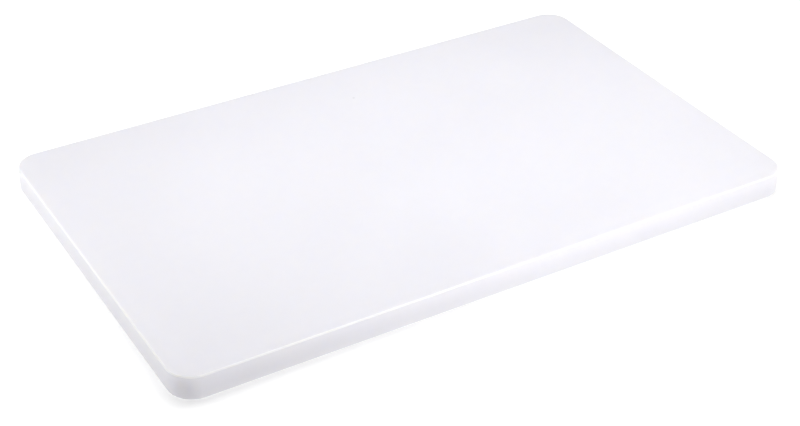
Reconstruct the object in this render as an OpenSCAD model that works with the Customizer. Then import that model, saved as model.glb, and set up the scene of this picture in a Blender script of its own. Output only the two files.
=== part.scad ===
// Reversible polyethylene cutting board: one solid slab with round corners in plan and an
// eased edge round both faces. It is cut from a single sheet, so it is one piece.
// Frame: +Z up, X along the length, Y along the width, origin at the centre of the face it
// rests on. Units are millimetres.

/* [Board] */
// Length, along X
length = 530; // [250:5:700]
// Width, along Y
width = 325; // [150:5:500]
// Thickness of the sheet, along Z
thickness = 20; // [8:1:40]

/* [Rounding] */
// Radius of the four corners, seen from above
corner_radius = 20; // [6:1:60]
// Radius of the eased edge round the top and the bottom face
edge_radius = 1.2; // [0.4:0.1:3]

/* [Hidden] */
$fn = 96;
// Distance from the board's middle to the centre of a corner's arc
corner_x = length / 2 - corner_radius;
corner_y = width / 2 - corner_radius;

// Cross-section of the sheet from x = 0 to x = reach, standing on y = 0, with its outer
// corners eased
module eased_half_section(reach) {
    square([reach - edge_radius, thickness]);
    translate([0, edge_radius])
        square([reach, thickness - 2 * edge_radius]);
    for (y = [edge_radius, thickness - edge_radius])
        translate([reach - edge_radius, y])
            circle(r = edge_radius);
}

// The whole cross-section, eased on both sides
module eased_section(span) {
    eased_half_section(span / 2);
    mirror([1, 0])
        eased_half_section(span / 2);
}

// The middle of the board, which carries the two long edges
module long_edge_slab() {
    rotate([90, 0, 90])
        linear_extrude(height = 2 * corner_x, center = true)
            eased_section(width);
}

// The middle of the board, which carries the two short edges
module short_edge_slab() {
    rotate([90, 0, 0])
        linear_extrude(height = 2 * corner_y, center = true)
            eased_section(length);
}

// One corner: the section turned about the centre of the corner's arc
module corner_puck() {
    rotate_extrude()
        eased_half_section(corner_radius);
}

module board() {
    color([0.945, 0.94, 0.965])
        union() {
            long_edge_slab();
            short_edge_slab();
            for (x = [-corner_x, corner_x], y = [-corner_y, corner_y])
                translate([x, y, 0])
                    corner_puck();
        }
}

board();
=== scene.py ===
import math

import bmesh
import bpy
from mathutils import Matrix, Vector, noise


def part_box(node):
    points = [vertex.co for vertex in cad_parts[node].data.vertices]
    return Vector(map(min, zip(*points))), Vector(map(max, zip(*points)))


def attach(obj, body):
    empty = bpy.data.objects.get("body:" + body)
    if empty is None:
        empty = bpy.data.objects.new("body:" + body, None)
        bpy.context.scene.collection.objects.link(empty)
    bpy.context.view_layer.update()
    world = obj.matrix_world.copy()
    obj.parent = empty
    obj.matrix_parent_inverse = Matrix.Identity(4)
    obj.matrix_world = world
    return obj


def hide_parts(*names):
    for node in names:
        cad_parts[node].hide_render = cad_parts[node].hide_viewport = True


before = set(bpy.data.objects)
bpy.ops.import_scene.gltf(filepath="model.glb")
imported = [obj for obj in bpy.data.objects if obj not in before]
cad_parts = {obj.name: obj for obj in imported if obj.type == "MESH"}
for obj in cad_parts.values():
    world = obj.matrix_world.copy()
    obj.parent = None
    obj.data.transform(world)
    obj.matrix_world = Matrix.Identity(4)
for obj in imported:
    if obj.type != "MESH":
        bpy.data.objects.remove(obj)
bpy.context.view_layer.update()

# ---- Sizes -----------------------------------------------------------------------------------

MM = 0.001                      # one millimetre in the scene's metres
board_low, board_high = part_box("board")
length, width, thickness = board_high - board_low

corner_radius = 20 * MM         # the four corners, seen from above
edge_radius = 1.2 * MM          # the eased edge round both faces
core_x = length / 2 - corner_radius     # the corner arcs are struck from the core's corners
core_y = width / 2 - corner_radius
flat_reach = corner_radius - edge_radius    # how far a face stays flat beyond the core

grid_pitch = 2.5 * MM           # spacing of the mesh on the flat faces
core_steps_x = round(2 * core_x / grid_pitch)
core_steps_y = round(2 * core_y / grid_pitch)
corner_steps = 24               # facets round one corner
edge_steps = 6                  # facets over one eased edge
wall_steps = 8                  # rows of facets down the edge
support_width = 0.4 * MM        # narrow loop that keeps a flat face flat up to its eased edge
merge_distance = 0.001 * MM     # vertices closer together than this become one

face_relief = 0.06 * MM         # how deep the planed faces dip below true flat
face_relief_scale = 90 * MM     # size of one such dip
face_seed = 7.0
wall_relief = 0.04 * MM         # how deep the routed edge dips
wall_relief_scale = 35 * MM
wall_seed = 3.0
relief_fade = 12 * MM           # the relief of a face fades to nothing over this much near its rim
rim_shade_reach = 10 * MM            # how far in from its rim a face is greyed by painted shade


# ---- Camera ----------------------------------------------------------------------------------

def direction(azimuth, elevation):
    """The unit vector towards a place seen from the board, both angles in degrees. Azimuth 0 is
    in front and 90 on the right."""
    turn, rise = math.radians(azimuth), math.radians(elevation)
    return Vector((
        math.sin(turn) * math.cos(rise),
        -math.cos(turn) * math.cos(rise),
        math.sin(rise),
    ))


def make_camera():
    """The camera stands in front of the board and to its left, and looks down at target. Its
    angles are in degrees."""
    azimuth = -30.64
    elevation = 33.67
    roll = 0.33
    distance = 1.288
    target = Vector((-0.0193, -0.0345, 0.0))
    data = bpy.data.cameras.new("camera")
    data.lens = 73.86
    data.sensor_width = 36.0
    camera = bpy.data.objects.new("camera", data)
    bpy.context.scene.collection.objects.link(camera)
    back = direction(azimuth, elevation)
    right = direction(azimuth + 90, 0)
    up = back.cross(right)
    level = Matrix((right, up, back)).transposed().to_4x4()
    tilt = Matrix.Rotation(math.radians(roll), 4, "Z")
    camera.matrix_world = Matrix.Translation(target + back * distance) @ level @ tilt
    bpy.context.scene.camera = camera


# ---- The slab --------------------------------------------------------------------------------

def spread(low, high, steps):
    """Evenly spaced values from low to high, both included."""
    return [low + (high - low) * i / steps for i in range(steps + 1)]


def stations():
    """Points round the core rectangle, anticlockwise, each with its outward direction.
    The arc of a corner is one point with a fan of directions."""
    found = []
    sides = [
        ((core_x, -core_y), (core_x, core_y), core_steps_y, 0),
        ((core_x, core_y), (-core_x, core_y), core_steps_x, 90),
        ((-core_x, core_y), (-core_x, -core_y), core_steps_y, 180),
        ((-core_x, -core_y), (core_x, -core_y), core_steps_x, 270),
    ]
    for start, end, steps, heading in sides:
        a, b = Vector(start), Vector(end)
        turn = math.radians(heading)
        outward = Vector((math.cos(turn), math.sin(turn)))
        found += [(a.lerp(b, t), outward) for t in spread(0, 1, steps)]
        for t in spread(0, 1, corner_steps)[1:-1]:
            turn = math.radians(heading + 90 * t)
            found.append((b, Vector((math.cos(turn), math.sin(turn)))))
    return found


def slab_profile():
    """Half cross-section from the upper face round the edge to the lower face. Each point is
    (distance out from the core, height, share of routed edge, share of eased arris, share of
    painted rim shade, which greys a face near its rim for the light that leaks away through the
    edge)."""
    face_rows = max(2, round((flat_reach - support_width) / grid_pitch))
    upper = []
    for out in spread(0, flat_reach - support_width, face_rows):
        # painted shade: the share grows towards the rim, standing in for light that leaks out
        # through the edge
        rim_shade = max(0.0, 1 - (flat_reach - out) / rim_shade_reach)
        upper.append((out, thickness, 0.0, 0.0, rim_shade))
    for turn in spread(0, math.pi / 2, edge_steps):
        out = flat_reach + edge_radius * math.sin(turn)
        z = thickness - edge_radius + edge_radius * math.cos(turn)
        routed = turn / (math.pi / 2)
        arris = math.sin(2 * turn)      # greatest halfway round the eased edge
        upper.append((out, z, routed, arris, 0.0))
    wall_heights = spread(thickness - edge_radius, edge_radius, wall_steps)[1:-1]
    wall = [(corner_radius, z, 1.0, 0.0, 0.0) for z in wall_heights]
    lower = [(out, thickness - z, *shares) for out, z, *shares in reversed(upper)]
    return upper + wall + lower


def relief(point, scale, seed):
    """Smooth noise from 0 to 1 at a point, with dips of about the given scale."""
    falloff = 1.0
    lacunarity = 2.0
    octaves = 3
    place = point / scale + Vector((seed, seed, seed))
    value = noise.fractal(place, falloff, lacunarity, octaves)
    return min(1.0, max(0.0, 0.5 + 0.5 * value))


def face_point(x, y, z, inside):
    """A point of a flat face, with the dips that planing leaves. inside is how far it lies
    in from the face's rim."""
    into_board = -1.0 if z > thickness / 2 else 1.0
    fade = min(1.0, inside / relief_fade)
    dip = face_relief * fade * relief(Vector((x, y, z)), face_relief_scale, face_seed)
    return Vector((x, y, z + into_board * dip))


def edge_point(core, outward, out, z, routed):
    """A point of the routed edge, with the slow waves that the cutter leaves."""
    flat = core + outward * out
    place = Vector((flat.x, flat.y, 0.0))
    depth = wall_relief * routed * relief(place, wall_relief_scale, wall_seed)
    return Vector((flat.x - outward.x * depth, flat.y - outward.y * depth, z))


def perimeter_runs(ring):
    """How far along the outline each station lies, with the whole way round added at the end."""
    outline = [core + outward * corner_radius for core, outward in ring]
    runs = [0.0]
    for a, b in zip(outline, outline[1:] + outline[:1]):
        runs.append(runs[-1] + (b - a).length)
    return runs


def sweep_edge(mesh):
    """Sweep the profile round the core. Its vertices keep their shares for the material, and
    edge_run holds how far along the outline and how high each corner of a facet lies."""
    routed_layer = mesh.verts.layers.float.new("routed")
    arris_layer = mesh.verts.layers.float.new("arris")
    # rim_shade holds at each vertex the share of painted shade near a face's rim
    rim_shade_layer = mesh.verts.layers.float.new("rim_shade")
    run_layer = mesh.loops.layers.uv.new("edge_run")
    ring = stations()
    runs = perimeter_runs(ring)
    rows = []
    for out, z, routed, arris, rim_shade in slab_profile():
        row = []
        for core, outward in ring:
            if routed > 0:
                place = edge_point(core, outward, out, z, routed)
            else:
                flat = core + outward * out
                place = face_point(flat.x, flat.y, z, flat_reach - out)
            vertex = mesh.verts.new(place)
            vertex[routed_layer] = routed
            vertex[arris_layer] = arris
            vertex[rim_shade_layer] = rim_shade
            row.append(vertex)
        rows.append(row)
    for upper, lower in zip(rows, rows[1:]):
        for i in range(len(ring)):
            j = (i + 1) % len(ring)
            face = mesh.faces.new((upper[i], lower[i], lower[j], upper[j]))
            for loop, run in zip(face.loops, (runs[i], runs[i], runs[i + 1], runs[i + 1])):
                loop[run_layer].uv = (run, loop.vert.co.z)


def fill_core(mesh, z):
    """The core of the face at height z, as a grid."""
    grid = []
    for y in spread(-core_y, core_y, core_steps_y):
        places = [face_point(x, y, z, flat_reach) for x in spread(-core_x, core_x, core_steps_x)]
        grid.append([mesh.verts.new(place) for place in places])
    for near, far in zip(grid, grid[1:]):
        for i in range(core_steps_x):
            mesh.faces.new((near[i], near[i + 1], far[i + 1], far[i]))


def make_slab():
    """The board's mesh: one profile swept round it, and the flat core of each face."""
    mesh = bmesh.new()
    sweep_edge(mesh)
    fill_core(mesh, thickness)
    fill_core(mesh, 0.0)
    bmesh.ops.remove_doubles(mesh, verts=mesh.verts, dist=merge_distance)
    bmesh.ops.recalc_face_normals(mesh, faces=mesh.faces)
    for face in mesh.faces:
        face.smooth = True
    data = bpy.data.meshes.new("board_slab")
    mesh.to_mesh(data)
    mesh.free()
    slab = bpy.data.objects.new("board_slab", data)
    bpy.context.scene.collection.objects.link(slab)
    return slab


# ---- Materials -------------------------------------------------------------------------------

class Nodes:
    """Short ways to add and join nodes in one tree."""

    def __init__(self, tree):
        self.tree = tree

    def add(self, kind, **settings):
        """A new node of a kind, such as Math, with its settings."""
        made = self.tree.nodes.new("ShaderNode" + kind)
        for name, value in settings.items():
            setattr(made, name, value)
        return made

    def join(self, source, target):
        """Link an output to an input, or give the input a plain value."""
        if isinstance(source, bpy.types.NodeSocket):
            self.tree.links.new(source, target)
        else:
            target.default_value = source

    def maths(self, operation, a, b=0.0):
        """One operation, such as MULTIPLY, on one or two numbers."""
        made = self.add("Math", operation=operation)
        self.join(a, made.inputs[0])
        self.join(b, made.inputs[1])
        return made.outputs[0]

    def fade(self, value, low, high, to_low, to_high):
        """value from low..high to to_low..to_high, along a smooth step."""
        made = self.add("MapRange", interpolation_type="SMOOTHSTEP")
        for source, target in zip((value, low, high, to_low, to_high), made.inputs):
            self.join(source, target)
        return made.outputs["Result"]

    def mix(self, data_type, factor, a, b):
        """a where factor is 0, and b where it is 1."""
        made = self.add("Mix", data_type=data_type)
        self.join(factor, made.inputs["Factor"])
        self.join(a, made.inputs["A"])
        self.join(b, made.inputs["B"])
        return made.outputs["Result"]

    def attribute(self, name):
        """A number that the mesh keeps at each vertex."""
        return self.add("Attribute", attribute_name=name).outputs["Fac"]

    def noise(self, place, size, detail=2.0, stretch=(1.0, 1.0, 1.0)):
        """Noise from 0 to 1, with features of about the given size in metres. A stretch below 1
        draws them out along that axis."""
        mapping = self.add("Mapping")
        mapping.inputs["Scale"].default_value = stretch
        self.join(place, mapping.inputs["Vector"])
        made = self.add("TexNoise")
        made.inputs["Scale"].default_value = 1.0 / size
        made.inputs["Detail"].default_value = detail
        self.join(mapping.outputs["Vector"], made.inputs["Vector"])
        return made.outputs["Fac"]

    def cloudy(self, place, size, faint, full, detail=2.0):
        """Noise of a given size, brought to between faint and full."""
        low, high = 0.3, 0.7    # most of the noise lies between these
        return self.fade(self.noise(place, size, detail), low, high, faint, full)

    def distance(self, place, centre):
        """How far a place lies from a centre."""
        made = self.add("VectorMath", operation="DISTANCE")
        self.join(place, made.inputs[0])
        self.join(centre, made.inputs[1])
        return made.outputs["Value"]

    def scaled(self, colour, share):
        """A colour multiplied by a number."""
        made = self.add("VectorMath", operation="SCALE")
        self.join(colour, made.inputs[0])
        self.join(share, made.inputs["Scale"])
        return made.outputs[0]

    def split(self, vector):
        """The outputs X, Y and Z of a vector."""
        made = self.add("SeparateXYZ")
        self.join(vector, made.inputs[0])
        return made.outputs


def new_material(name):
    """A material with a bare Principled shader, and what builds its nodes."""
    material = bpy.data.materials.new(name)
    material.use_nodes = True
    return material, Nodes(material.node_tree), material.node_tree.nodes["Principled BSDF"]


def polyethylene_colour(nodes, place, arris, rim_shade):
    """Milky white, faintly clouded, with painted shade that greys the rim where light leaks out
    of the edge, whiter along the eased edge partly from the cutter and partly as a painted
    highlight, and with one dark grain pressed into the sheet."""
    milk = (0.796, 0.79, 0.834)
    # painted highlight: the eased edge is whiter partly because the cutter whitens it and partly
    # to paint the bright line that the lights lay along it
    cut_white_and_highlight = (0.96, 0.955, 0.98, 1.0)
    grain_centre = Vector((21 * MM, 112 * MM, thickness))
    grain_radius = 0.4 * MM
    grain_halo = 1.6 * MM

    clouds = nodes.cloudy(place, 140 * MM, 0.988, 1.006)
    mottle = nodes.cloudy(place, 9 * MM, 0.997, 1.003)
    # painted shade: a face is up to 3 per cent greyer towards its rim, standing in for light that
    # leaks out of the edge
    painted_rim_shade = nodes.fade(rim_shade, 0.0, 1.0, 1.0, 0.97)
    away = nodes.distance(place, grain_centre)
    grain = nodes.fade(away, grain_radius, grain_halo, 0.86, 1.0)
    share = clouds
    for layer in (mottle, painted_rim_shade, grain):
        share = nodes.maths("MULTIPLY", share, layer)

    # cut whitening and painted highlight: the arris is mixed towards a near-white
    whitening_and_highlight = nodes.fade(arris, 0.0, 0.5, 0.0, 1.0)
    return nodes.mix("RGBA", whitening_and_highlight, nodes.scaled(milk, share), cut_white_and_highlight)


def face_height(nodes, place):
    """Matte grain, a soft orange peel and planing lines along the length."""
    along_length = (0.02, 1.0, 1.0)
    grain = nodes.maths("MULTIPLY", nodes.noise(place, 0.9 * MM), 0.008 * MM)
    peel = nodes.maths("MULTIPLY", nodes.noise(place, 6 * MM), 0.03 * MM)
    lines = nodes.noise(place, 1.6 * MM, 1.0, along_length)
    planing = nodes.maths("MULTIPLY", lines, 0.005 * MM)
    return nodes.maths("ADD", nodes.maths("ADD", grain, peel), planing)


def edge_height(nodes):
    """The marks of the router's flutes up the edge, and of its feed along it."""
    flute_pitch = 1.7 * MM
    along_edge = (0.01, 1.0, 1.0)
    run = nodes.add("UVMap", uv_map="edge_run").outputs["UV"]
    phase = nodes.maths("MULTIPLY", nodes.split(run)["X"], 2 * math.pi / flute_pitch)
    flutes = nodes.maths("MULTIPLY", nodes.maths("SINE", phase), 0.003 * MM)
    streaks = nodes.noise(run, 0.7 * MM, 2.0, along_edge)
    feed = nodes.maths("MULTIPLY", streaks, 0.006 * MM)
    return nodes.maths("ADD", flutes, feed)


def polyethylene():
    """Milky white plastic: light goes some millimetres in before it comes out again."""
    material, nodes, shader = new_material("milky_polyethylene")
    place = nodes.add("TexCoord").outputs["Object"]
    routed = nodes.attribute("routed")
    arris = nodes.attribute("arris")
    rim_shade = nodes.attribute("rim_shade")

    nodes.join(polyethylene_colour(nodes, place, arris, rim_shade), shader.inputs["Base Color"])

    satin = nodes.cloudy(place, 22 * MM, 0.36, 0.44, detail=3.0)
    polish = nodes.fade(arris, 0.0, 0.7, 1.0, 0.85)
    nodes.join(nodes.maths("MULTIPLY", satin, polish), shader.inputs["Roughness"])

    height = nodes.mix("FLOAT", routed, face_height(nodes, place), edge_height(nodes))
    bump = nodes.add("Bump")
    bump.inputs["Distance"].default_value = 1.0     # the height is in metres as it is
    nodes.join(height, bump.inputs["Height"])
    nodes.join(bump.outputs["Normal"], shader.inputs["Normal"])

    shader.inputs["IOR"].default_value = 1.54
    shader.inputs["Subsurface Weight"].default_value = 1.0
    shader.inputs["Subsurface Radius"].default_value = (1.0, 0.95, 0.85)
    shader.inputs["Subsurface Scale"].default_value = 9 * MM
    return material


def pale_floor():
    """A plain pale floor that glows by itself like a light table, and more so away from the
    board, where it has to run off into the white of the room."""
    near, far = 0.35, 0.9       # from the middle of the board
    near_glow, far_glow = 0.46, 1.05
    material, nodes, shader = new_material("studio_floor")
    shader.inputs["Base Color"].default_value = (0.75, 0.75, 0.75, 1.0)
    shader.inputs["Roughness"].default_value = 0.9
    shader.inputs["Specular IOR Level"].default_value = 0.1
    away = nodes.distance(nodes.add("TexCoord").outputs["Object"], Vector((0.0, 0.0, 0.0)))
    shader.inputs["Emission Color"].default_value = (1.0, 1.0, 1.0, 1.0)
    glow = nodes.fade(away, near, far, near_glow, far_glow)
    nodes.join(glow, shader.inputs["Emission Strength"])
    return material


# ---- Studio ----------------------------------------------------------------------------------

def make_floor():
    """A plain round floor, wide enough to reach the horizon from every side."""
    radius = 12.0
    gap = 0.02 * MM     # keeps the floor from sharing a plane with the board's underside
    mesh = bmesh.new()
    bmesh.ops.create_circle(mesh, cap_ends=True, segments=96, radius=radius)
    data = bpy.data.meshes.new("floor")
    mesh.to_mesh(data)
    mesh.free()
    floor = bpy.data.objects.new("floor", data)
    bpy.context.scene.collection.objects.link(floor)
    floor.location.z = board_low.z - gap
    floor.data.materials.append(pale_floor())


def softbox(name, azimuth, elevation, distance, size, power, aim=(0.0, 0.0, 0.0)):
    """A square soft light that looks at aim, with its angles in degrees. A low one is left out
    of reflections, so that its sheen doesn't bleach a face seen from low down."""
    lowest_reflected = 40       # degrees
    back = direction(azimuth, elevation)
    data = bpy.data.lights.new(name, "AREA")
    data.shape = "SQUARE"
    data.size = size
    data.energy = power
    light = bpy.data.objects.new(name, data)
    bpy.context.scene.collection.objects.link(light)
    light.visible_camera = False
    light.visible_glossy = elevation >= lowest_reflected
    light.location = Vector(aim) + back * distance
    light.rotation_mode = "QUATERNION"
    light.rotation_quaternion = back.to_track_quat("Z", "Y")


def make_lights():
    """Two lights overhead and one behind for the upper face, one on the right, and low ones for
    the two sides that the camera sees."""
    front = board_low.y
    left = board_low.x
    softbox("overhead_left", 0, 89.9, distance=0.6, size=0.4, power=1.55, aim=(-0.2, 0.0, 0.0))
    softbox("overhead_right", 0, 89.9, distance=0.6, size=0.4, power=2.08, aim=(0.2, 0.0, 0.0))
    softbox("back", 180, 55, distance=1.2, size=0.8, power=4.25)
    softbox("right", 100, 40, distance=0.65, size=0.35, power=0.54)
    softbox("front_right_low", 45, 12, distance=1.2, size=0.6, power=1.81)
    softbox("left_fill", 250, 35, distance=0.45, size=0.2, power=0.73, aim=(left, 0.05, 0.0))
    softbox("front_fill", 20, 35, distance=0.45, size=0.2, power=0.44, aim=(0.1, front, 0.0))
    softbox("front_low", 0, 20, distance=0.3, size=0.15, power=0.17, aim=(0.0, front, 0.0))


def make_world():
    """A room that is white at the horizon and dark overhead."""
    white_up_to, dark_from = 0.08, 0.2      # sines of the angle above the horizon
    horizon_strength = 1.08
    world = bpy.data.worlds.new("studio")
    world.use_nodes = True
    nodes = Nodes(world.node_tree)
    background = world.node_tree.nodes["Background"]
    background.inputs["Color"].default_value = (1.0, 1.0, 1.0, 1.0)
    height = nodes.split(nodes.add("TexCoord").outputs["Generated"])["Z"]
    brightness = nodes.fade(height, white_up_to, dark_from, horizon_strength, 0.0)
    nodes.join(brightness, background.inputs["Strength"])
    bpy.context.scene.world = world


# ---- Build -----------------------------------------------------------------------------------

bpy.context.scene.view_settings.view_transform = "Standard"

make_camera()
make_world()
make_lights()
make_floor()

slab = make_slab()
slab.data.materials.append(polyethylene())
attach(slab, "root")
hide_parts("board")
